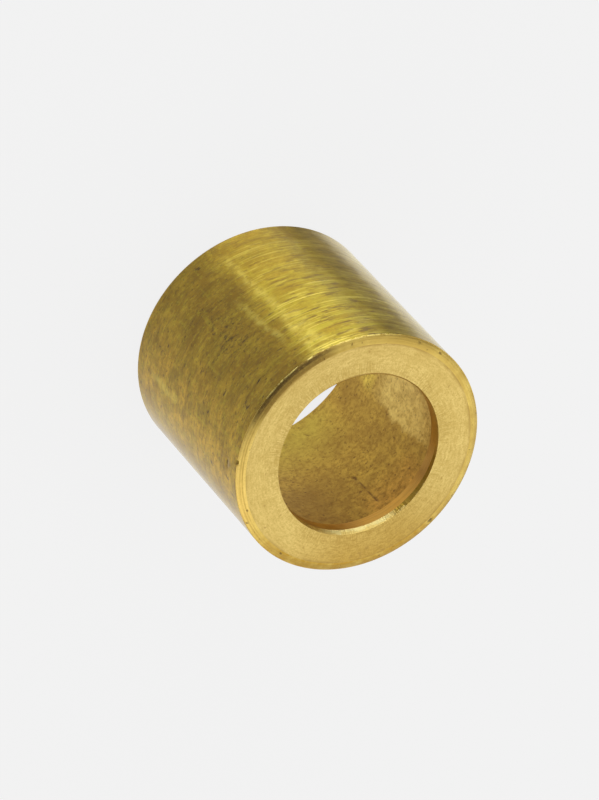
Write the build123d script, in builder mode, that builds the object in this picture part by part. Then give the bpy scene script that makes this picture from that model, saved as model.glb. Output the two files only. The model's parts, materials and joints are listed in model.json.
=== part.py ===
# Hose ferrule: a turned brass sleeve for crimping a hose onto a stem.
# The wall is open at the hose end and turns inward into a lip at the stem end.
# The hose end stands on z = 0, the bore runs along +Z and the lipped face is on top.

import os

from build123d import *

# Driving dimensions, in millimetres
hose_bore_diameter = 17.4  # takes the outside of the hose
wall_thickness = 1.3
overall_length = 18.3
lip_thickness = 1.2
stem_hole_diameter = 13.2  # the stem passes through the lip
rim_bevel_width = 0.7  # shallow bevel round the lipped face, measured across the face
rim_bevel_depth = 0.3  # the same bevel, measured down the outside wall
stem_hole_chamfer = 0.3
bore_corner_radius = 0.4  # left by the boring tool where the wall meets the lip
hose_end_break = 0.15  # sharp edges taken off the hose end, inside and out

hose_bore_radius = hose_bore_diameter / 2
outside_radius = hose_bore_radius + wall_thickness
stem_hole_radius = stem_hole_diameter / 2
lip_underside = overall_length - lip_thickness

with BuildPart() as ferrule:
    # Half section of the wall and the lip, turned about the bore's axis
    with BuildSketch(Plane.XZ):
        with BuildLine():
            Polyline(
                (hose_bore_radius, 0),
                (outside_radius, 0),
                (outside_radius, overall_length),
                (stem_hole_radius, overall_length),
                (stem_hole_radius, lip_underside),
                (hose_bore_radius, lip_underside),
                close=True,
            )
        make_face()
    revolve(axis=Axis.Z)

    # Levels of the round edges from the hose end up: hose end, under the lip, lipped face
    round_edges = ferrule.edges().filter_by(GeomType.CIRCLE)
    hose_end_edges, under_lip_edges, face_edges = round_edges.group_by(Axis.Z)
    stem_hole_edge, rim_edge = face_edges.sort_by(SortBy.RADIUS)
    bore_corner = under_lip_edges.sort_by(SortBy.RADIUS)[-1]

    # The corner under the lip keeps the round nose of the boring tool
    fillet(bore_corner, radius=bore_corner_radius)

    # Turned edges: the bevel round the face, the lead into the lip and the hose end
    lipped_face = ferrule.faces().filter_by(GeomType.PLANE).sort_by(Axis.Z)[-1]
    chamfer(rim_edge, length=rim_bevel_width, length2=rim_bevel_depth, reference=lipped_face)
    chamfer(stem_hole_edge, length=stem_hole_chamfer)
    chamfer(hose_end_edges, length=hose_end_break)

ferrule.part.label = "ferrule"
os.makedirs("parts", exist_ok=True)
export_step(ferrule.part, "parts/ferrule.step")
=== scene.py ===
import json
import math

import bpy
from mathutils import Matrix, Vector


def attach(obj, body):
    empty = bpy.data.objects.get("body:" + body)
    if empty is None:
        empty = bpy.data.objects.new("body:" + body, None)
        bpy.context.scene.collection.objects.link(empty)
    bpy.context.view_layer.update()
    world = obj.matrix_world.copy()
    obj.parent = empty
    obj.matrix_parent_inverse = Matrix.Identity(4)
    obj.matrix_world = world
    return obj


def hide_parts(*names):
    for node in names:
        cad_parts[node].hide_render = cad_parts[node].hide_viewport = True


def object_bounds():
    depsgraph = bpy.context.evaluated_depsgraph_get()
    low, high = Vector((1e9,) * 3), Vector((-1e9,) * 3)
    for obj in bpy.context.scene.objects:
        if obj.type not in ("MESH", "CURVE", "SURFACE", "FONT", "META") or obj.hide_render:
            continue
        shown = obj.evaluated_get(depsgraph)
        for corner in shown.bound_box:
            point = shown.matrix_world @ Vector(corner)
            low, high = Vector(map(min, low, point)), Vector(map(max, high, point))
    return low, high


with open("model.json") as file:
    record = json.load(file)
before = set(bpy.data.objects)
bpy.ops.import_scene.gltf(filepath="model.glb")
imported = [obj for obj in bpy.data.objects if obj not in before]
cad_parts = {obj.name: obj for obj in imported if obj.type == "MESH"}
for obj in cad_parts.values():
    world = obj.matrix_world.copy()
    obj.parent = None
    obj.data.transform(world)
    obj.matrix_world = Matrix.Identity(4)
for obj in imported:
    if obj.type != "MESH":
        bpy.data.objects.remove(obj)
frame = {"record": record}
cadLow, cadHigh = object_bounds()
mm = 0.001
print("frame loaded, box in mm:", [round(v / mm, 2) for v in cadHigh - cadLow])

# sizes that the frame already knows
mounts = {mount["name"]: mount["dims"] for mount in frame["record"]["mounts"]}
outsideRadius = cadHigh.x
ferruleLength = cadHigh.z
boreRadius = mounts["hose_bore"]["r_mm"] * mm
holeRadius = mounts["stem_hole"]["r_mm"] * mm

ferruleShape = {
    "segments": 480,  # round the axis
    "rimBevel": (0.7 * mm, 0.3 * mm),  # across the face, down the wall
    "rimCrown": 0.055 * mm,  # the bevel is a little round
    "rimLines": (0.42, 0.66),  # turning lines, as shares of the bevel's width
    "lineDepth": 0.008 * mm,
    "lineWidth": 0.09 * mm,
    # burr on the rim: mm in from the wall and up from the bevel's edge
    "burrSection": ((0.008, 0.020), (0.022, 0.034), (0.040, 0.034), (0.062, 0.028)),
    "crownEnds": (0.20, 0.93),  # where the bevel's crown starts and stops, as shares of its width
    "mouthChamfer": 0.3 * mm,
    "lipThickness": 1.2 * mm,
    "boreCorner": 0.4 * mm,
    "endBreak": 0.15 * mm,
    "wallRings": 72,
    "boreRings": 56,
    "faceRings": 10,
    "landRings": 4,
    "underRings": 3,
    "cornerSteps": 8,
    "endRings": 2,
    "mergeReach": 0.002 * mm,
    "smoothAngle": math.radians(16),
}


def evenly(start, end, steps):
    # points along a straight line, without its start
    def reached(step):
        return tuple(a + (b - a) * step / steps for a, b in zip(start, end))

    return [reached(step) for step in range(1, steps + 1)]


def halfSection(shape):
    # radius and height of each point: up the wall, over the rim and the face, then down the bore
    bevelWidth, bevelDepth = shape["rimBevel"]
    rimHeight = ferruleLength - bevelDepth
    endBreak, corner, chamfer = shape["endBreak"], shape["boreCorner"], shape["mouthChamfer"]
    lipUnder = ferruleLength - shape["lipThickness"]
    slope = math.atan2(bevelWidth, bevelDepth)

    def onBevel(share, depth=0):
        lift = shape["rimCrown"] * 4 * share * (1 - share) - depth
        radius = outsideRadius - bevelWidth * share + lift * math.cos(slope)
        return radius, rimHeight + bevelDepth * share + lift * math.sin(slope)

    points = [(outsideRadius - endBreak, 0)]
    points += [(outsideRadius - endBreak * 0.3, endBreak * 0.3)]  # the broken edge is a little round
    points += [(outsideRadius, endBreak)]
    points += evenly(points[-1], (outsideRadius, rimHeight), shape["wallRings"])
    # burr on the corner, then the bevel with its turning lines
    for inward, upward in shape["burrSection"]:
        points += [(outsideRadius - inward * mm, rimHeight + upward * mm)]
    points += [onBevel(shape["crownEnds"][0])]
    half = shape["lineWidth"] / bevelWidth / 2
    for line in shape["rimLines"]:
        points += [onBevel(line - half), onBevel(line, shape["lineDepth"]), onBevel(line + half)]
    points += [onBevel(shape["crownEnds"][1]), (outsideRadius - bevelWidth, ferruleLength)]
    # face, mouth, land and the underside of the lip
    points += evenly(points[-1], (holeRadius + chamfer, ferruleLength), shape["faceRings"])
    points += [(holeRadius, ferruleLength - chamfer)]
    points += evenly(points[-1], (holeRadius, lipUnder), shape["landRings"])
    cornerRadius, cornerHeight = boreRadius - corner, lipUnder - corner
    points += evenly(points[-1], (cornerRadius, lipUnder), shape["underRings"])
    for step in range(1, shape["cornerSteps"] + 1):
        angle = math.radians(90 * step / shape["cornerSteps"])
        points += [(cornerRadius + corner * math.sin(angle), cornerHeight + corner * math.cos(angle))]
    # bore and the hose end
    points += evenly(points[-1], (boreRadius, endBreak), shape["boreRings"])
    points += [(boreRadius + endBreak, 0)]
    return points + evenly(points[-1], points[0], shape["endRings"])


def turnFerrule(shape):
    # a circle merged to one point, pulled along the section, then spun about the axis
    points = halfSection(shape)
    radius, height = points[0]
    bpy.ops.object.select_all(action="DESELECT")
    bpy.ops.mesh.primitive_circle_add(vertices=3, radius=mm, location=(radius, 0, height))
    bpy.ops.object.transform_apply(location=True, rotation=True, scale=True)
    bpy.ops.object.mode_set(mode="EDIT")
    bpy.ops.mesh.select_all(action="SELECT")
    bpy.ops.mesh.merge(type="CENTER")
    for (fromRadius, fromHeight), (toRadius, toHeight) in zip(points, points[1:]):
        step = (toRadius - fromRadius, 0, toHeight - fromHeight)
        bpy.ops.mesh.extrude_vertices_move(TRANSFORM_OT_translate={"value": step})
    bpy.ops.mesh.select_all(action="SELECT")
    bpy.ops.mesh.spin(steps=shape["segments"], angle=math.tau, center=(0, 0, 0), axis=(0, 0, 1))
    bpy.ops.mesh.select_all(action="SELECT")
    bpy.ops.mesh.remove_doubles(threshold=shape["mergeReach"])
    bpy.ops.mesh.normals_make_consistent(inside=False)
    bpy.ops.object.mode_set(mode="OBJECT")
    piece = bpy.context.object
    piece.name = piece.data.name = "turned_ferrule"
    return piece


def pickWhere(piece, wanted):
    # only the points for which wanted(place) is true are left picked in edit mode
    bpy.ops.object.mode_set(mode="EDIT")
    bpy.ops.mesh.select_mode(type="VERT")
    bpy.ops.mesh.select_all(action="DESELECT")
    bpy.ops.object.mode_set(mode="OBJECT")
    picked = [vertex.index for vertex in piece.data.vertices if wanted(vertex.co)]
    for index in picked:
        piece.data.vertices[index].select = True
    bpy.ops.object.mode_set(mode="EDIT")
    return picked


def surfacePoint(radius, azimuth, height):
    angle = math.radians(azimuth)
    return Vector((radius * math.cos(angle), radius * math.sin(angle), height))


ringReach = 0.003 * mm  # points this near a ring belong to it
flatReach = 0.001 * mm  # and this near a plane or the hole, to that
endReach = 0.1  # degrees, so that the last point of a stretch counts


def pickRing(piece, radius, height, azimuth=0, half=180):
    # a whole ring of points, or the stretch of it on both sides of an azimuth
    def onRing(place):
        if math.dist((math.hypot(place.x, place.y), place.z), (radius, height)) > ringReach:
            return False
        return place.xy.angle(surfacePoint(1, azimuth, 0).xy) <= math.radians(half + endReach)

    return pickWhere(piece, onRing)


# the burr stands up where the rim was rubbed, and the hole's edge was broken a little oval
edgeWork = {
    "burr": {"azimuth": 249, "half": 36, "rise": 0.012 * mm, "ragged": 0.012 * mm, "seed": 4},
    "mouth": {"longWay": 62, "shortRadius": 6.62 * mm},
    "mouthTear": {"azimuth": 86, "half": 6, "reach": 0.05 * mm, "ragged": 0.022 * mm, "seed": 9},
}


def workEdges(piece, work, shape):
    rimHeight = ferruleLength - shape["rimBevel"][1]
    burr = work["burr"]
    for inward, upward in shape["burrSection"][1:3]:
        radius, height = outsideRadius - inward * mm, rimHeight + upward * mm
        pickRing(piece, radius, height, burr["azimuth"], burr["half"])
        bpy.ops.transform.translate(value=(0, 0, burr["rise"]))
        bpy.ops.transform.vertex_random(offset=burr["ragged"], uniform=1, normal=0, seed=burr["seed"])
    mouth, tear = work["mouth"], work["mouthTear"]
    mouthRadius = holeRadius + shape["mouthChamfer"]
    faceMiddle = (0, 0, ferruleLength)
    turn = math.radians(mouth["longWay"])
    pickRing(piece, mouthRadius, ferruleLength)
    bpy.ops.transform.rotate(value=turn, orient_axis="Z", center_override=faceMiddle)
    bpy.ops.transform.resize(value=(1, mouth["shortRadius"] / mouthRadius, 1), center_override=faceMiddle)
    bpy.ops.transform.rotate(value=-turn, orient_axis="Z", center_override=faceMiddle)

    def inTear(place):
        if place.z <= ferruleLength - flatReach or place.xy.length >= mouthRadius + tear["reach"]:
            return False
        return place.xy.angle(surfacePoint(1, tear["azimuth"], 0).xy) < math.radians(tear["half"])

    pickWhere(piece, inTear)
    bpy.ops.transform.vertex_random(offset=tear["ragged"], uniform=1, normal=0, seed=tear["seed"])
    bpy.ops.transform.resize(value=(1, 1, 0), center_override=faceMiddle)
    bpy.ops.object.mode_set(mode="OBJECT")


# knocks and scratches, in mm and degrees: radius, azimuth and height at both ends, reach from the line
wearMarks = {
    "knocks": {
        "depth": 0.05 * mm,
        "marks": (
            (10.0, (318.9, 16.5), (321.2, 16.5), 0.17),  # wall, by the rim
            (10.0, (314.4, 17.93), (315.6, 18.0), 0.14),  # rim corner
            (9.6, (93.2, 18.2), (94.4, 18.2), 0.16),  # bevel
            (10.0, (62.0, 11.2), (64.5, 11.0), 0.13),
            (10.0, (148.0, 5.6), (148.9, 5.6), 0.15),
        ),
    },
    "scratches": {
        "depth": 0.025 * mm,
        "marks": (
            (10.0, (273.6, 9.0), (275.4, 8.8), 0.10),  # wall
            (9.75, (203.5, 18.16), (204.0, 18.16), 0.09),  # two dots on the bevel
            (9.75, (190.5, 18.16), (191.2, 18.16), 0.10),
            (8.7, (76.6, 2.0), (77.8, 2.3), 0.10),  # two chips in the bore
            (8.7, (84.0, 2.0), (84.8, 2.1), 0.08),
            (8.7, (80.2, 9.5), (80.7, 10.0), 0.18),  # one long scratch in the bore, in three bits
            (8.7, (80.6, 9.4), (80.9, 11.6), 0.08),
            (8.7, (81.0, 12.0), (81.3, 13.5), 0.11),
        ),
    },
}


def wearIn(piece, wear):
    grime = [0.0] * len(piece.data.vertices)
    for kind in wear.values():
        lines = []
        for radius, start, end, reach in kind["marks"]:
            start = surfacePoint(radius * mm, start[0], start[1] * mm)
            lines.append((start, surfacePoint(radius * mm, end[0], end[1] * mm) - start, reach * mm))

        def markShare(place):
            # one in the middle of a mark, nothing past its reach
            share = 0
            for start, run, reach in lines:
                if abs(place.z - start.z - run.z / 2) < abs(run.z) / 2 + reach:
                    along = min(1, max(0, (place - start).dot(run) / run.length_squared))
                    share = max(share, 1 - (place - start - run * along).length / reach)
            return share

        for index in pickWhere(piece, lambda place: markShare(place) > 0):
            grime[index] = min(1, markShare(piece.data.vertices[index].co) * 2)
        bpy.ops.transform.shrink_fatten(value=-kind["depth"])
        bpy.ops.object.mode_set(mode="OBJECT")
    piece.data.attributes.new("grime", "FLOAT", "POINT").data.foreach_set("value", grime)


ferrule = turnFerrule(ferruleShape)
workEdges(ferrule, edgeWork, ferruleShape)
wearIn(ferrule, wearMarks)
bpy.ops.object.shade_smooth_by_angle(angle=ferruleShape["smoothAngle"])
pickRing(ferrule, holeRadius, ferruleLength - ferruleShape["mouthChamfer"])
bpy.ops.mesh.mark_sharp()
bpy.ops.object.mode_set(mode="OBJECT")
print("ferrule turned,", len(ferrule.data.polygons), "faces")


def addNode(tree, kind, inputs=None, **settings):
    made = tree.nodes.new(kind)
    for name, value in settings.items():
        setattr(made, name, value)
    for name, value in (inputs or {}).items():
        if isinstance(value, bpy.types.NodeSocket):
            tree.links.new(value, made.inputs[name])
        else:
            made.inputs[name].default_value = value
    return made


def calc(tree, operation, *values):
    return addNode(tree, "ShaderNodeMath", dict(enumerate(values)), operation=operation).outputs[0]


def vectorCalc(tree, operation, *values):
    made = addNode(tree, "ShaderNodeVectorMath", dict(enumerate(values)), operation=operation)
    return made.outputs["Value" if operation in ("LENGTH", "DOT_PRODUCT") else "Vector"]


def grain(tree, place, stretch, detail=3.0, rough=0.55, shift=(0, 0, 0)):
    # noise with this many features to the metre along each axis
    moved = addNode(tree, "ShaderNodeMapping", {"Vector": place, "Scale": stretch, "Location": shift})
    inputs = {"Vector": moved.outputs[0], "Scale": 1, "Detail": detail, "Roughness": rough}
    return addNode(tree, "ShaderNodeTexNoise", inputs).outputs[0]


def ramp(tree, value, low, high, start=0.0, end=1.0):
    inputs = {"Value": value, "From Min": low, "From Max": high, "To Min": start, "To Max": end}
    return addNode(tree, "ShaderNodeMapRange", inputs).outputs[0]


def mixed(tree, share, first, second):
    def asColour(value):
        return value if isinstance(value, bpy.types.NodeSocket) else (*value, 1)

    inputs = {0: share, 6: asColour(first), 7: asColour(second)}
    return addNode(tree, "ShaderNodeMix", inputs, data_type="RGBA").outputs[2]


def both(tree, first, second, *more):
    share = calc(tree, "MULTIPLY", first, second)
    return both(tree, share, *more) if more else share


def flatPlace(tree, place):
    return vectorCalc(tree, "MULTIPLY", place, (1, 1, 0))


def radiusOf(tree, place):
    return vectorCalc(tree, "LENGTH", flatPlace(tree, place))


def heightOf(tree, place):
    return addNode(tree, "ShaderNodeSeparateXYZ", {0: place}).outputs["Z"]


def polar(tree, place, around, across):
    # place on rings about the axis: round the ring, then out along the radius
    unit = vectorCalc(tree, "NORMALIZE", flatPlace(tree, place))
    turned = vectorCalc(tree, "MULTIPLY", unit, (around, around, around))
    out = calc(tree, "MULTIPLY", radiusOf(tree, place), across)
    raised = addNode(tree, "ShaderNodeCombineXYZ", {"Z": out}).outputs[0]
    return vectorCalc(tree, "ADD", turned, raised)


def zone(tree, place, azimuth, half, soft, sway=None):
    # share of a stretch round the axis, in degrees, with edges that may sway
    parts = addNode(tree, "ShaderNodeSeparateXYZ", {0: place}).outputs
    turn = calc(tree, "DEGREES", calc(tree, "ARCTAN2", parts["Y"], parts["X"]))
    away = calc(tree, "WRAP", calc(tree, "SUBTRACT", turn, azimuth), 180, -180)
    if sway:
        away = calc(tree, "ADD", away, sway)
    return ramp(tree, calc(tree, "ABSOLUTE", away), half + soft, half)


def swayOf(tree, place, stretch, degrees, shift, detail=1):
    drift = grain(tree, place, stretch, detail, 0.6, (shift, 0, 0))
    return calc(tree, "MULTIPLY", calc(tree, "SUBTRACT", drift, 0.5), degrees)


def between(tree, place, low, high, soft):
    # share of a stretch along the axis, in mm
    height = heightOf(tree, place)
    rise = ramp(tree, height, (low - soft) * mm, (low + soft) * mm)
    return both(tree, rise, ramp(tree, height, (high + soft) * mm, (high - soft) * mm))


def patch(tree, place, spot, sway):
    # share of a patch: a stretch round the axis and one along it
    around, along = spot
    return both(tree, zone(tree, place, *around, sway), between(tree, place, *along))


def grimed(tree, place, colour, grimeColour):
    # dirt that sits in the knocks and scratches
    grime = addNode(tree, "ShaderNodeAttribute", attribute_name="grime").outputs["Fac"]
    broken = ramp(tree, grain(tree, place, (2600, 2600, 2600), 2), 0.36, 0.56, 0.2, 0.9)
    return mixed(tree, both(tree, grime, broken), colour, grimeColour)


def startFinish(name, look):
    made = bpy.data.materials.new(name)
    made.use_nodes = True
    tree = made.node_tree
    shader = tree.nodes["Principled BSDF"]
    shader.inputs["Metallic"].default_value = 1
    shader.inputs["Anisotropic"].default_value = look["brushed"]
    shader.inputs["Anisotropic Rotation"].default_value = 0.25  # gloss spreads across the turned lines
    tangent = addNode(tree, "ShaderNodeTangent", direction_type="RADIAL", axis="Z")
    tree.links.new(tangent.outputs[0], shader.inputs["Tangent"])
    place = addNode(tree, "ShaderNodeTexCoord").outputs["Object"]
    return made, tree, shader, place


def endFinish(tree, shader, colour, roughness, heights):
    tree.links.new(colour, shader.inputs["Base Color"])
    tree.links.new(roughness, shader.inputs["Roughness"])
    normal = None
    for height, depth in heights:
        inputs = {"Height": height, "Strength": 1, "Distance": depth}
        if normal:
            inputs["Normal"] = normal
        normal = addNode(tree, "ShaderNodeBump", inputs).outputs[0]
    tree.links.new(normal, shader.inputs["Normal"])


wallLook = {
    "olive": (0.45, 0.31, 0.026),
    "brown": (0.305, 0.18, 0.014),
    "orange": (0.64, 0.395, 0.036),
    # lighter and yellower where rubbed, and also used as a painted highlight on the lit side
    "rubbedAndHighlit": (0.56, 0.45, 0.036),
    # bare metal, also used as a painted highlight in the bright lines
    "bareAndHighlight": (0.87, 0.72, 0.135),
    # pale, painted along one edge of the wall as a reflection
    "wornAndSheen": (0.82, 0.70, 0.22),
    # dark brown, painted as a band of shade beside the pale edge
    "shadeBandColour": (0.20, 0.13, 0.004),
    "stain": (0.19, 0.11, 0.026),
    "pit": (0.08, 0.048, 0.018),
    "brushed": 0.95,
    "roughness": (0.36, 0.48),
    "edgeTint": (1, 0.95, 0.74),  # the metal seen almost edge on
    "film": {"Roughness": 0.15, "IOR": 1.2},  # thin and clear, pale where it is seen edge on
    # azimuth, half width and soft edge of each side, in degrees
    # the rubbed sides, painted lighter and yellower there as a highlight
    "rubbedAndHighlitSides": ((231, 18, 14), (82, 12, 20)),
    "rubbedAndHighlitFrom": (0, 13 * mm),  # heights, faint to full
    # orange-gold patches, painted stronger on this side as light
    "goldenLitSide": (315, 11, 15),
    # the edge painted pale as a reflection
    "wornAndSheenSide": (188, 4, 17),
    "thinFilm": (214, 6, 7),
    "speckledSide": (305, 28, 36),
    # a band painted dark as shade
    "shadeBand": (211, 4, 9),
    "scarredPatch": ((275, 5, 8), (6, 13, 2.5)),  # then from, to and soft edge in mm
    # bright lines along the wall, rubbed metal and partly painted highlight: height in mm and azimuth at
    # both ends, half width in degrees, strength
    "rubAndHighlightLines": (
        ((2, 256), (9, 253.3), 2.2, 0.45),
        ((9, 253.3), (18.3, 253.8), 2.8, 0.65),
        ((7.8, 264.5), (14.5, 261), 1.7, 0.55),
        ((12, 251), (18.3, 248.5), 5, 0.6),
        ((3.0, 318.5), (7.4, 317.5), 2.6, 0.4),
        ((2, 24), (12, 25), 2.2, 0.22),
        ((6, 97), (17, 96), 2.4, 0.3),
        ((1, 151), (9, 150), 2.2, 0.2),
    ),
}


def wallFinish(look):
    made, tree, shader, place = startFinish("wall_brass", look)
    shader.inputs["Specular Tint"].default_value = (*look["edgeTint"], 1)
    for setting, value in look["film"].items():
        shader.inputs["Coat " + setting].default_value = value
    clouds = grain(tree, place, (420, 420, 420), 4)
    warm = grain(tree, place, (560, 560, 800), 4, 0.6, (9, 6, 2))
    patches = grain(tree, place, (1000, 1000, 1300), 4, 0.65, (3, 8, 5))
    mottle = grain(tree, place, (2300, 2300, 2300), 4, 0.68, (6, 1, 3))
    streaks = grain(tree, place, (75, 75, 1900), 4, 0.6)
    lines = grain(tree, place, (120, 120, 5600), 3, 0.6, (3, 1, 7))
    smudges = grain(tree, place, (300, 300, 1200), 4, 0.6, (2, 2, 6))
    dashes = grain(tree, place, (700, 700, 3300), 3, 0.5, (11, 5, 2))
    strokes = grain(tree, place, (1500, 1500, 5200), 3, 0.6, (4, 4, 9))
    glints = grain(tree, place, (2700, 2700, 3600), 2, 0.6, (9, 9, 2))
    flats = grain(tree, place, (480, 480, 70), 2, 0.5, (2, 9, 4))
    scuffs = grain(tree, place, (1500, 1500, 260), 3, 0.5, (1, 3, 8))
    specks = grain(tree, place, (3100, 3100, 4300), 1, 0.5, (7, 3, 1))
    blots = grain(tree, place, (1250, 1250, 2400), 2, 0.5, (5, 8, 6))
    scars = grain(tree, place, (1700, 1700, 2100), 4, 0.75, (6, 2, 2))
    drift = swayOf(tree, place, (160, 160, 260), 18, 0)
    waver = swayOf(tree, place, (500, 500, 700), 6, 4, 3)
    rubbedAndHighlitSway = calc(tree, "ADD", drift, swayOf(tree, place, (150, 150, 1500), 11, 2, 3))
    bandSway = swayOf(tree, place, (160, 160, 260), 7, 0)
    bandSway = calc(tree, "ADD", bandSway, swayOf(tree, place, (900, 900, 1300), 9, 8, 2))
    height = heightOf(tree, place)
    # the painted highlight grows from faint to full towards the lip
    towardsLip = ramp(tree, height, *look["rubbedAndHighlitFrom"], 0.12, 1)
    rubbedAndHighlitSide = 0
    for side in look["rubbedAndHighlitSides"]:
        rubbedAndHighlitSide = calc(tree, "MAXIMUM", rubbedAndHighlitSide, zone(tree, place, *side, rubbedAndHighlitSway))
    rubbedAndHighlitSide = both(tree, rubbedAndHighlitSide, towardsLip)
    goldenLitSide = zone(tree, place, *look["goldenLitSide"], bandSway)
    wornAndSheenSide = zone(tree, place, *look["wornAndSheenSide"], bandSway)
    speckledSide = zone(tree, place, *look["speckledSide"])

    colour = mixed(tree, ramp(tree, clouds, 0.39, 0.59), look["brown"], look["olive"])
    # orange-gold patches, stronger on one side as painted light
    goldenLit = both(tree, ramp(tree, warm, 0.36, 0.58), ramp(tree, goldenLitSide, 0, 1, 0.3, 1))
    colour = mixed(tree, goldenLit, colour, look["orange"])
    colour = mixed(tree, ramp(tree, patches, 0.46, 0.66, 0, 0.6), colour, look["brown"])
    colour = mixed(tree, ramp(tree, mottle, 0.46, 0.68, 0, 0.7), colour, look["brown"])
    colour = mixed(tree, ramp(tree, glints, 0.54, 0.72, 0, 0.5), colour, look["rubbedAndHighlit"])
    colour = mixed(tree, ramp(tree, strokes, 0.52, 0.70, 0, 0.35), colour, look["stain"])
    # the rubbed side is bright in streaks, partly a painted highlight, with bare metal in the fine lines
    # between
    bright = both(tree, ramp(tree, streaks, 0.38, 0.58, 0.4, 1), ramp(tree, smudges, 0.64, 0.44, 0.4, 1))
    colour = mixed(tree, both(tree, rubbedAndHighlitSide, bright), colour, look["rubbedAndHighlit"])
    fineLines = both(tree, ramp(tree, lines, 0.49, 0.64), ramp(tree, smudges, 0.58, 0.42))
    bareAndHighlight = both(tree, fineLines, ramp(tree, rubbedAndHighlitSide, 0, 1, 0.06, 1))
    colour = mixed(tree, bareAndHighlight, colour, look["bareAndHighlight"])
    dullAndShade = both(tree, ramp(tree, dashes, 0.54, 0.66), ramp(tree, rubbedAndHighlitSide, 0, 1, 0.3, 0.75))
    colour = mixed(tree, dullAndShade, colour, look["stain"])
    colour = mixed(tree, ramp(tree, scuffs, 0.60, 0.72, 0, 0.35), colour, look["rubbedAndHighlit"])
    # a pale edge painted as a reflection, with faint ticks, and beside it a band of painted shade
    wornAndSheen = both(
        tree,
        wornAndSheenSide,
        ramp(tree, streaks, 0.34, 0.62, 0.4, 0.95),
        ramp(tree, clouds, 0.62, 0.40, 0.45, 1),
    )
    colour = mixed(tree, wornAndSheen, colour, look["wornAndSheen"])
    ticks = both(tree, wornAndSheenSide, ramp(tree, dashes, 0.56, 0.70, 0, 0.3))
    colour = mixed(tree, ticks, colour, look["stain"])
    # painted shade: a dark brown band beside the pale edge
    shadeBandShare = both(
        tree,
        zone(tree, place, *look["shadeBand"], bandSway),
        ramp(tree, smudges, 0.38, 0.58, 0.6, 1),
        ramp(tree, dashes, 0.42, 0.62, 1, 0.5),
    )
    colour = mixed(tree, shadeBandShare, colour, look["shadeBandColour"])
    film = ramp(tree, zone(tree, place, *look["thinFilm"], bandSway), 0, 1, 1, 0.35)
    tree.links.new(film, shader.inputs["Coat Weight"])
    ridgesAndHighlights = None
    for (low, lowAzimuth), (high, highAzimuth), half, strength in look["rubAndHighlightLines"]:
        lean = ramp(tree, height, low * mm, high * mm, 0, lowAzimuth - highAzimuth)
        line = both(
            tree,
            zone(tree, place, lowAzimuth, half * 0.2, half, calc(tree, "ADD", lean, waver)),
            between(tree, place, low, high, 0.8),
            ramp(tree, dashes, 0.36, 0.60, 0.35, strength),
            ramp(tree, patches, 0.60, 0.40, 0.3, 1),
        )
        ridgesAndHighlights = calc(tree, "MAXIMUM", ridgesAndHighlights, line) if ridgesAndHighlights else line
    # the bright lines, partly a painted highlight at the edge of the lit stretch
    colour = mixed(tree, ridgesAndHighlights, colour, look["bareAndHighlight"])
    scarred = patch(tree, place, look["scarredPatch"], bandSway)
    scarred = both(tree, scarred, ramp(tree, scars, 0.51, 0.62, 0, 0.7))
    colour = mixed(tree, scarred, colour, look["pit"])
    small = both(tree, ramp(tree, specks, 0.63, 0.75, 0, 0.5), ramp(tree, speckledSide, 0, 1, 0.4, 1))
    large = both(tree, ramp(tree, blots, 0.67, 0.76, 0, 0.8), ramp(tree, speckledSide, 0, 1, 0.3, 1))
    pits = calc(tree, "MAXIMUM", small, large)
    colour = mixed(tree, pits, colour, look["pit"])
    colour = grimed(tree, place, colour, look["pit"])
    roughness = ramp(tree, streaks, 0.3, 0.7, look["roughness"][1], look["roughness"][0])
    grooves = both(tree, lines, ramp(tree, rubbedAndHighlitSide, 0, 1, 0.35, 1))
    heights = (
        (grooves, 0.006 * mm),
        (streaks, 0.008 * mm),
        (flats, 0.06 * mm),
        (ridgesAndHighlights, 0.010 * mm),
        (scuffs, 0.008 * mm),
        (mottle, 0.006 * mm),
        (calc(tree, "SUBTRACT", 1, pits), 0.010 * mm),
    )
    endFinish(tree, shader, colour, roughness, heights)
    return made


# radii between which each kind of mark, and the painted shade, comes in
faceReach = {
    "chatter": (8.2 * mm, 7.2 * mm),
    "edge": (9.08 * mm, 9.26 * mm),
    "dullAndShade": (7.2 * mm, 9.3 * mm),
    "specks": (8 * mm, 9 * mm),
}
faceLook = {
    "gold": (0.74, 0.57, 0.20),
    "deep": (0.54, 0.385, 0.105),
    "dot": (0.40, 0.25, 0.065),
    "edge": (0.38, 0.24, 0.06),
    # painted shade: darker on one side, most towards the rim, with its own grain colour
    "dullAndShade": (0.54, 0.355, 0.078),
    "shadeGrain": (0.42, 0.265, 0.055),
    "brushed": 0.2,
    "roughness": (0.44, 0.58),
    "shadeSide": (62, 15, 40),
    "cleanSide": (322, 28, 20),
    "tornShade": None,  # only the edge of the mouth is torn
}
mouthLook = {
    "gold": (0.80, 0.56, 0.14),
    "deep": (0.62, 0.41, 0.09),
    "dot": (0.36, 0.25, 0.07),
    "edge": (0.62, 0.41, 0.09),
    # painted shade on one side, as on the face
    "dullAndShade": (0.74, 0.50, 0.12),
    "shadeGrain": (0.62, 0.41, 0.09),
    "brushed": 0.2,
    "roughness": (0.42, 0.54),
    "shadeSide": (62, 15, 40),
    "cleanSide": (322, 28, 20),
    # painted glint on the mouth's edge
    "bright": (0.94, 0.81, 0.34),
    "highlightSide": (56, 20, 10),
    "pale": (0.88, 0.68, 0.22),
    # painted shade on the torn stretch, past the glint
    "tornShade": (0.55, 0.36, 0.055),
    "tornShadeSide": (106, 22, 3),
    "raggedReach": (holeRadius + 0.07 * mm, holeRadius + 0.26 * mm),  # where both stop, at random
    "raggedEdge": (-0.02 * mm, 0.03 * mm),
}


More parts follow.
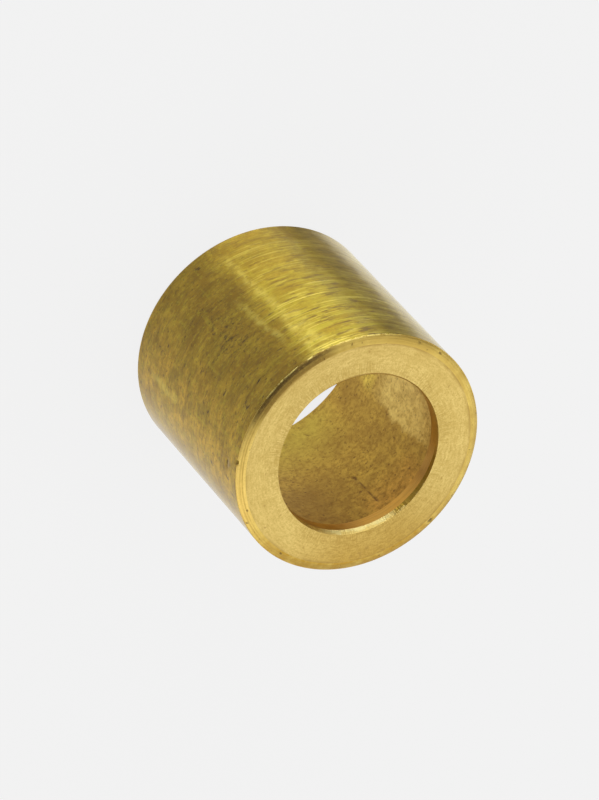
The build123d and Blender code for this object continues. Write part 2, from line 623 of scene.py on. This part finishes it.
def faceFinish(name, look):
    made, tree, shader, place = startFinish(name, look)
    radius = radiusOf(tree, place)
    rows = grain(tree, polar(tree, place, 14, 6500), (1, 1, 1), 2, 0.6)
    bands = grain(tree, polar(tree, place, 1.2, 1300), (1, 1, 1), 2, 0.5, (4, 4, 0))
    ticks = grain(tree, polar(tree, place, 66, 1400), (1, 1, 1), 1, 0.5, (1, 7, 3))
    dust = grain(tree, place, (7500, 7500, 7500), 2, 0.6)
    dots = grain(tree, place, (2600, 2600, 2600), 1, 0.5, (5.4, 4.7, 1.3))
    smears = grain(tree, place, (420, 420, 420), 4, 0.6, (2, 6, 3))
    # the tool chattered towards the hole, here and there
    inner = ramp(tree, radius, *faceReach["chatter"], 0.15, 1)
    chatter = both(tree, ramp(tree, ticks, 0.40, 0.62), inner, ramp(tree, smears, 0.36, 0.52, 0.35, 1))
    outer = both(
        tree,
        ramp(tree, radius, *faceReach["edge"]),
        ramp(tree, smears, 0.38, 0.58, 0.1, 0.7),
        ramp(tree, zone(tree, place, *look["cleanSide"]), 0, 1, 1, 0.3),
    )
    colour = mixed(tree, ramp(tree, bands, 0.40, 0.62, 0, 0.25), look["gold"], look["deep"])
    colour = mixed(tree, ramp(tree, smears, 0.48, 0.70, 0, 0.4), colour, look["deep"])
    # painted shade on one side, most towards the rim; grain and specks follow it
    dullAndShade = ramp(tree, zone(tree, place, *look["shadeSide"]), 0, 1, 0.15, 1)
    shadedToRim = both(tree, dullAndShade, ramp(tree, radius, *faceReach["dullAndShade"], 0.65, 1))
    colour = mixed(tree, shadedToRim, colour, look["dullAndShade"])
    grained = mixed(tree, dullAndShade, look["deep"], look["shadeGrain"])
    colour = mixed(tree, ramp(tree, rows, 0.44, 0.64, 0, 0.55), colour, grained)
    colour = mixed(tree, both(tree, chatter, ramp(tree, dullAndShade, 0, 1, 0.85, 0.25)), colour, grained)
    colour = mixed(tree, outer, colour, look["edge"])
    colour = mixed(tree, ramp(tree, dust, 0.48, 0.70, 0, 0.5), colour, grained)
    colour = mixed(tree, ramp(tree, dots, 0.72, 0.78, 0, 0.5), colour, look["dot"])
    specks = both(
        tree,
        dullAndShade,
        ramp(tree, dots, 0.54, 0.72, 0, 0.6),
        ramp(tree, radius, *faceReach["specks"], 0.2, 1),
    )
    colour = mixed(tree, specks, colour, look["dot"])
    if look["tornShade"]:
        # the painted glint and the painted shade on the torn stretch both stop short of the face, by more
        # here and less there
        ragged = grain(tree, place, (1900, 1900, 1900), 4, 0.7, (4, 2, 8))
        reach = ramp(tree, ragged, 0.34, 0.64, *look["raggedReach"])
        past = calc(tree, "SUBTRACT", radius, reach)
        colour = mixed(tree, ramp(tree, past, *look["raggedEdge"], 0, 0.8), colour, look["pale"])
        within = ramp(tree, past, *look["raggedEdge"], 1, 0)
        # painted glint
        bright = both(tree, within, zone(tree, place, *look["highlightSide"]))
        bright = both(tree, bright, ramp(tree, smears, 0.42, 0.60, 1, 0.6))
        colour = mixed(tree, bright, colour, look["bright"])
        # painted shade on the torn stretch
        tornShade = both(tree, within, zone(tree, place, *look["tornShadeSide"]))
        tornShade = both(tree, tornShade, ramp(tree, dots, 0.35, 0.60, 0.7, 1))
        colour = mixed(tree, tornShade, colour, look["tornShade"])
    colour = grimed(tree, place, colour, look["dot"])
    roughness = ramp(tree, dust, 0.3, 0.7, *look["roughness"])
    heights = ((rows, 0.006 * mm), (chatter, 0.008 * mm), (dust, 0.007 * mm))
    endFinish(tree, shader, colour, roughness, heights)
    return made


bevelLook = {
    "gold": (0.74, 0.56, 0.145),
    "deep": (0.55, 0.38, 0.088),
    "dot": (0.14, 0.085, 0.03),
    # painted shade: in the groove under the burr, and in a band across the bevel
    "grooveShade": (0.19, 0.12, 0.04),
    "line": (0.44, 0.28, 0.06),
    "bandShade": (0.31, 0.19, 0.045),
    "linedSide": (355, 50, 30),
    "bandShadeSide": (271, 17, 10),
    # bright metal on the burr, partly a painted highlight
    "wornAndSheen": (0.95, 0.80, 0.26),  # bright metal on the burr
    "wornAndSheenSide": (249, 28, 10),
    # painted shade: browner on one side
    "dullAndShade": (0.48, 0.28, 0.035),
    "shadeSide": (50, 36, 24),
    "deepSide": (207, 8, 12),
    # painted highlight on one side of the bevel
    "bright": (0.88, 0.63, 0.18),
    "highlightSide": (322, 18, 14),
    "brushed": 0.3,
    "roughness": (0.42, 0.56),
    # distances: in from the wall, then out from a line's middle
    "crest": (0.13 * mm, 0.07 * mm),
    "grooveAt": 0.21 * mm,
    "grooveReach": (0.14 * mm, 0.07 * mm),
    "lineReach": (0.08 * mm, 0.02 * mm),
}


def bevelFinish(look):
    made, tree, shader, place = startFinish("bevel_brass", look)
    rings = grain(tree, polar(tree, place, 1.6, 5200), (1, 1, 1), 4, 0.6)
    clouds = grain(tree, place, (600, 600, 600), 3)
    dust = grain(tree, place, (5200, 5200, 5200), 3, 0.65, (4, 1, 7))
    dots = grain(tree, place, (2400, 2400, 2400), 1, 0.5, (2, 8, 1))
    broken = grain(tree, place, (1900, 1900, 1900), 3, 0.6, (8, 2, 2))
    radius = radiusOf(tree, place)
    crestFrom, crestTo = look["crest"]
    crest = ramp(tree, radius, outsideRadius - crestFrom, outsideRadius - crestTo)
    wornAndSheen = both(tree, crest, zone(tree, place, *look["wornAndSheenSide"]), ramp(tree, broken, 0.42, 0.54))
    # painted shade on one side
    dullAndShade = both(tree, zone(tree, place, *look["shadeSide"]), ramp(tree, broken, 0.34, 0.60, 0.35, 1))
    colour = mixed(tree, ramp(tree, clouds, 0.35, 0.65), look["gold"], look["deep"])
    colour = mixed(tree, dullAndShade, colour, look["dullAndShade"])
    colour = mixed(tree, zone(tree, place, *look["deepSide"]), colour, look["deep"])
    # painted highlight on one side
    bright = calc(tree, "MULTIPLY", zone(tree, place, *look["highlightSide"]), 0.6)
    colour = mixed(tree, bright, colour, look["bright"])
    colour = mixed(tree, ramp(tree, rings, 0.48, 0.70, 0, 0.6), colour, look["deep"])
    # painted shade: a dark band across the bevel
    bandShaded = zone(tree, place, *look["bandShadeSide"])
    colour = mixed(tree, calc(tree, "MULTIPLY", bandShaded, 0.85), colour, look["bandShade"])
    lined = both(tree, zone(tree, place, *look["linedSide"]), ramp(tree, broken, 0.35, 0.55, 0.2, 0.6))
    for share in ferruleShape["rimLines"]:
        fromLine = calc(tree, "SUBTRACT", radius, outsideRadius - ferruleShape["rimBevel"][0] * share)
        line = ramp(tree, calc(tree, "ABSOLUTE", fromLine), *look["lineReach"])
        colour = mixed(tree, both(tree, line, lined), colour, look["line"])
    # painted shade in the groove under the burr
    fromGroove = calc(tree, "SUBTRACT", radius, outsideRadius - look["grooveAt"])
    grooveShade = ramp(tree, calc(tree, "ABSOLUTE", fromGroove), *look["grooveReach"])
    under = both(tree, grooveShade, bandShaded, ramp(tree, broken, 0.35, 0.6, 0.6, 1))
    colour = mixed(tree, under, colour, look["grooveShade"])
    colour = mixed(tree, ramp(tree, dust, 0.50, 0.72, 0, 0.5), colour, look["deep"])
    colour = mixed(tree, ramp(tree, dots, 0.70, 0.77, 0, 0.7), colour, look["dot"])
    # bright metal on the burr, partly a painted highlight
    colour = mixed(tree, wornAndSheen, colour, look["wornAndSheen"])
    colour = grimed(tree, place, colour, look["dot"])
    roughness = ramp(tree, rings, 0.3, 0.7, *look["roughness"])
    heights = ((rings, 0.006 * mm), (clouds, 0.02 * mm), (dust, 0.005 * mm))
    endFinish(tree, shader, colour, roughness, heights)
    return made


landLook = {
    "gold": (0.72, 0.46, 0.115),
    "deep": (0.50, 0.285, 0.066),
    "orange": (0.95, 0.58, 0.12),
    "orangeSide": (78, 14, 22),
    "brushed": 0.5,
    "roughness": (0.30, 0.42),
}


def landFinish(look):
    made, tree, shader, place = startFinish("land_brass", look)
    lines = grain(tree, place, (220, 220, 9000), 4, 0.6)
    clouds = grain(tree, place, (450, 450, 700), 3)
    colour = mixed(tree, ramp(tree, clouds, 0.38, 0.62), look["gold"], look["deep"])
    glowing = both(tree, zone(tree, place, *look["orangeSide"]), ramp(tree, clouds, 0.3, 0.6, 0.6, 1))
    colour = mixed(tree, glowing, colour, look["orange"])
    colour = mixed(tree, ramp(tree, lines, 0.5, 0.75, 0, 0.5), colour, look["deep"])
    roughness = ramp(tree, lines, 0.3, 0.7, *look["roughness"])
    endFinish(tree, shader, colour, roughness, ((lines, 0.004 * mm), (clouds, 0.015 * mm)))
    return made


boreLook = {
    "gold": (0.69, 0.45, 0.077),
    "brown": (0.37, 0.205, 0.039),
    "yellow": (0.68, 0.53, 0.085),
    "orange": (0.80, 0.44, 0.085),
    "rubbedAndHighlit": (0.96, 0.71, 0.20),
    "bright": (0.95, 0.72, 0.12),
    "pit": (0.20, 0.10, 0.03),
    "brushed": 0.3,
    "roughness": (0.40, 0.52),
    # azimuth, half width and soft edge in degrees, then from, to and soft edge along the bore in mm
    # a lighter, yellower patch painted as reflection, and a darker one painted as shade
    "yellowReflection": ((66, 16, 16), (-1, 4.5, 2.5)),
    "shadedPatch": ((46, 14, 14), (8, 19, 2)),
    "glowing": ((92, 12, 9), (12.5, 16.5, 1.5)),
    "scraped": ((137, 18, 3), (5.3, 13.3, 1.3)),
    "glint": ((121.5, 2.5, 3), (2.6, 4.0, 0.6)),
}


def boreFinish(look):
    made, tree, shader, place = startFinish("bore_brass", look)
    clouds = grain(tree, place, (300, 300, 300), 3)
    mottle = grain(tree, place, (3300, 3300, 3300), 5, 0.72)
    patches = grain(tree, place, (1100, 1100, 1100), 3, 0.6, (5, 1, 9))
    pits = grain(tree, place, (3600, 3600, 3600), 1, 0.5, (3, 2, 6))
    streaks = grain(tree, place, (1700, 1700, 130), 3, 0.5, (1, 4, 4))
    sway = swayOf(tree, place, (300, 300, 420), 15, 3, 4)

    def spot(name):
        return patch(tree, place, look[name], sway)

    colour = mixed(tree, ramp(tree, clouds, 0.36, 0.64, 0, 0.5), look["gold"], look["brown"])
    yellowReflection = spot("yellowReflection")
    scraped = both(tree, spot("scraped"), ramp(tree, patches, 0.64, 0.42, 0.6, 1))
    grainy = both(tree, ramp(tree, yellowReflection, 0, 1, 1, 0.5), ramp(tree, scraped, 0, 1, 1, 0.45))
    # painted reflection, then painted shade
    colour = mixed(tree, calc(tree, "MULTIPLY", yellowReflection, 0.75), colour, look["yellow"])
    colour = mixed(tree, calc(tree, "MULTIPLY", spot("shadedPatch"), 0.4), colour, look["brown"])
    colour = mixed(tree, calc(tree, "MULTIPLY", spot("glowing"), 0.7), colour, look["orange"])
    patched = both(tree, ramp(tree, patches, 0.46, 0.66, 0, 0.5), grainy)
    colour = mixed(tree, patched, colour, look["brown"])
    colour = mixed(tree, scraped, colour, look["rubbedAndHighlit"])
    colour = mixed(tree, calc(tree, "MULTIPLY", spot("glint"), 0.9), colour, look["bright"])
    mottled = both(tree, ramp(tree, mottle, 0.45, 0.66, 0, 0.75), grainy)
    colour = mixed(tree, mottled, colour, look["brown"])
    pitted = both(tree, ramp(tree, pits, 0.64, 0.75, 0, 0.65), grainy)
    colour = mixed(tree, pitted, colour, look["pit"])
    colour = grimed(tree, place, colour, look["pit"])
    roughness = ramp(tree, mottle, 0.3, 0.7, *look["roughness"])
    endFinish(tree, shader, colour, roughness, ((mottle, 0.010 * mm), (streaks, 0.008 * mm)))
    return made


finishes = {
    "wall": wallFinish(wallLook),
    "face": faceFinish("face_brass", faceLook),
    "mouth": faceFinish("mouth_brass", mouthLook),
    "bevel": bevelFinish(bevelLook),
    "land": landFinish(landLook),
    "bore": boreFinish(boreLook),
}


def finishOf(polygon):
    centre, normal = polygon.center, polygon.normal
    radius = math.hypot(centre.x, centre.y)
    outward = (centre.x * normal.x + centre.y * normal.y) / radius
    if outward > 0.9:  # faces away from the axis
        return "wall"
    if abs(normal.z) > 0.9999 and (centre.z < mm or normal.z > 0):  # flat, at either end
        return "face"
    if radius > holeRadius and radius < boreRadius and normal.z > 0:
        return "mouth"
    if radius > boreRadius and (normal.z > 0.1 or outward > 0):
        return "bevel"
    if radius < holeRadius + flatReach and centre.z > ferruleLength - ferruleShape["lipThickness"]:
        return "land"
    return "bevel" if centre.z < ferruleShape["endBreak"] else "bore"


for material in finishes.values():
    ferrule.data.materials.append(material)
finishOrder = list(finishes)
for polygon in ferrule.data.polygons:
    polygon.material_index = finishOrder.index(finishOf(polygon))
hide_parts("ferrule")
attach(ferrule, "root")
print("finishes laid on")

floorLook = {"size": 3.0, "colour": (0.895, 0.895, 0.895), "glow": 0.94, "mirrorGlow": 0.9}


def addFloor(look):
    bpy.ops.object.select_all(action="DESELECT")
    bpy.ops.mesh.primitive_plane_add(size=look["size"], location=(0, 0, 0))
    floor = bpy.context.object
    floor.name = "floor"
    made = bpy.data.materials.new("floor_pale")
    made.use_nodes = True
    tree = made.node_tree
    tree.nodes.clear()
    colour = (*look["colour"], 1)
    path = addNode(tree, "ShaderNodeLightPath").outputs
    mirrored = calc(tree, "ADD", path["Is Glossy Ray"], path["Is Transmission Ray"])
    mirrored = calc(tree, "MULTIPLY", mirrored, look["mirrorGlow"])
    seen = calc(tree, "MULTIPLY", path["Is Camera Ray"], look["glow"])
    share = calc(tree, "ADD", seen, mirrored)
    lit = addNode(tree, "ShaderNodeBsdfDiffuse", {"Color": colour})
    glow = addNode(tree, "ShaderNodeEmission", {"Color": colour, "Strength": 1})
    blend = addNode(tree, "ShaderNodeMixShader", {0: share, 1: lit.outputs[0], 2: glow.outputs[0]})
    addNode(tree, "ShaderNodeOutputMaterial", {"Surface": blend.outputs[0]})
    floor.data.materials.append(made)


addFloor(floorLook)

# soft boxes: azimuth and elevation of each in degrees, seen from the ferrule
studioLamps = {
    "key": {"azimuth": 228, "elevation": 14, "distance": 0.35, "size": (0.28, 0.15), "power": 0.58},
    "faceSoft": {"azimuth": 112, "elevation": 48, "distance": 0.40, "size": (0.42, 0.36), "power": 0.46},
    "fill": {"azimuth": 18, "elevation": 38, "distance": 0.40, "size": (0.42, 0.46), "power": 0.75},
    "rimSoft": {"azimuth": 180, "elevation": 62, "distance": 0.40, "size": (0.20, 0.16), "power": 0.14},
}
worldLook = {
    "pale": (0.80, 0.80, 0.80),  # low down behind the ferrule, like a pale backdrop
    "backdropWay": (0, 1, -0.6),
    "backdropEdge": (-0.1, 0.6),
    "dim": (0.22, 0.22, 0.22),  # the rest of the room
    "horizon": (0.895, 0.895, 0.895),  # the floor goes on to here
    "horizonEdge": (0.05, 0),
}
middle = Vector((0, 0, ferruleLength / 2))


def direction(azimuth, elevation):
    turn, rise = math.radians(azimuth), math.radians(elevation)
    return Vector((math.cos(turn) * math.cos(rise), math.sin(turn) * math.cos(rise), math.sin(rise)))


for name, lamp in studioLamps.items():
    towards = direction(lamp["azimuth"], lamp["elevation"])
    bpy.ops.object.light_add(type="AREA", location=middle + towards * lamp["distance"])
    light = bpy.context.object
    light.name = name
    light.rotation_euler = towards.to_track_quat("Z", "Y").to_euler()
    light.data.shape = "RECTANGLE"
    light.data.size, light.data.size_y = lamp["size"]
    light.data.energy = lamp["power"]


def addWorld(look):
    world = bpy.data.worlds.new("studio")
    bpy.context.scene.world = world
    world.use_nodes = True
    tree = world.node_tree
    way = addNode(tree, "ShaderNodeTexCoord").outputs["Generated"]
    behind = vectorCalc(tree, "DOT_PRODUCT", way, look["backdropWay"])
    light = mixed(tree, ramp(tree, behind, *look["backdropEdge"]), look["dim"], look["pale"])
    low = ramp(tree, heightOf(tree, way), *look["horizonEdge"])
    light = mixed(tree, low, light, look["horizon"])
    tree.links.new(light, tree.nodes["Background"].inputs["Color"])


addWorld(worldLook)
print("floor and lamps set")

cameraView = {
    "tilt": math.radians(39.03),  # between the bore's axis and the line of sight
    "roll": math.radians(137.67),
    "distance": 0.46495,
    "lens": 276.31,
    "aim": (0.000545, 0.000205),  # the ferrule's middle, right of and above the picture's middle
}


def addCamera(view):
    turn = Matrix.Rotation(view["tilt"], 4, "X") @ Matrix.Rotation(view["roll"], 4, "Z")
    right, up, back = (turn.to_3x3().col[i] for i in range(3))
    aside, above = view["aim"]
    place = middle + back * view["distance"] - right * aside - up * above
    bpy.ops.object.camera_add(location=place, rotation=turn.to_euler())
    camera = bpy.context.object
    camera.data.lens = view["lens"]
    camera.data.clip_start = 0.01
    bpy.context.scene.camera = camera


addCamera(cameraView)
bpy.context.scene.view_settings.view_transform = "Standard"
print("camera set")
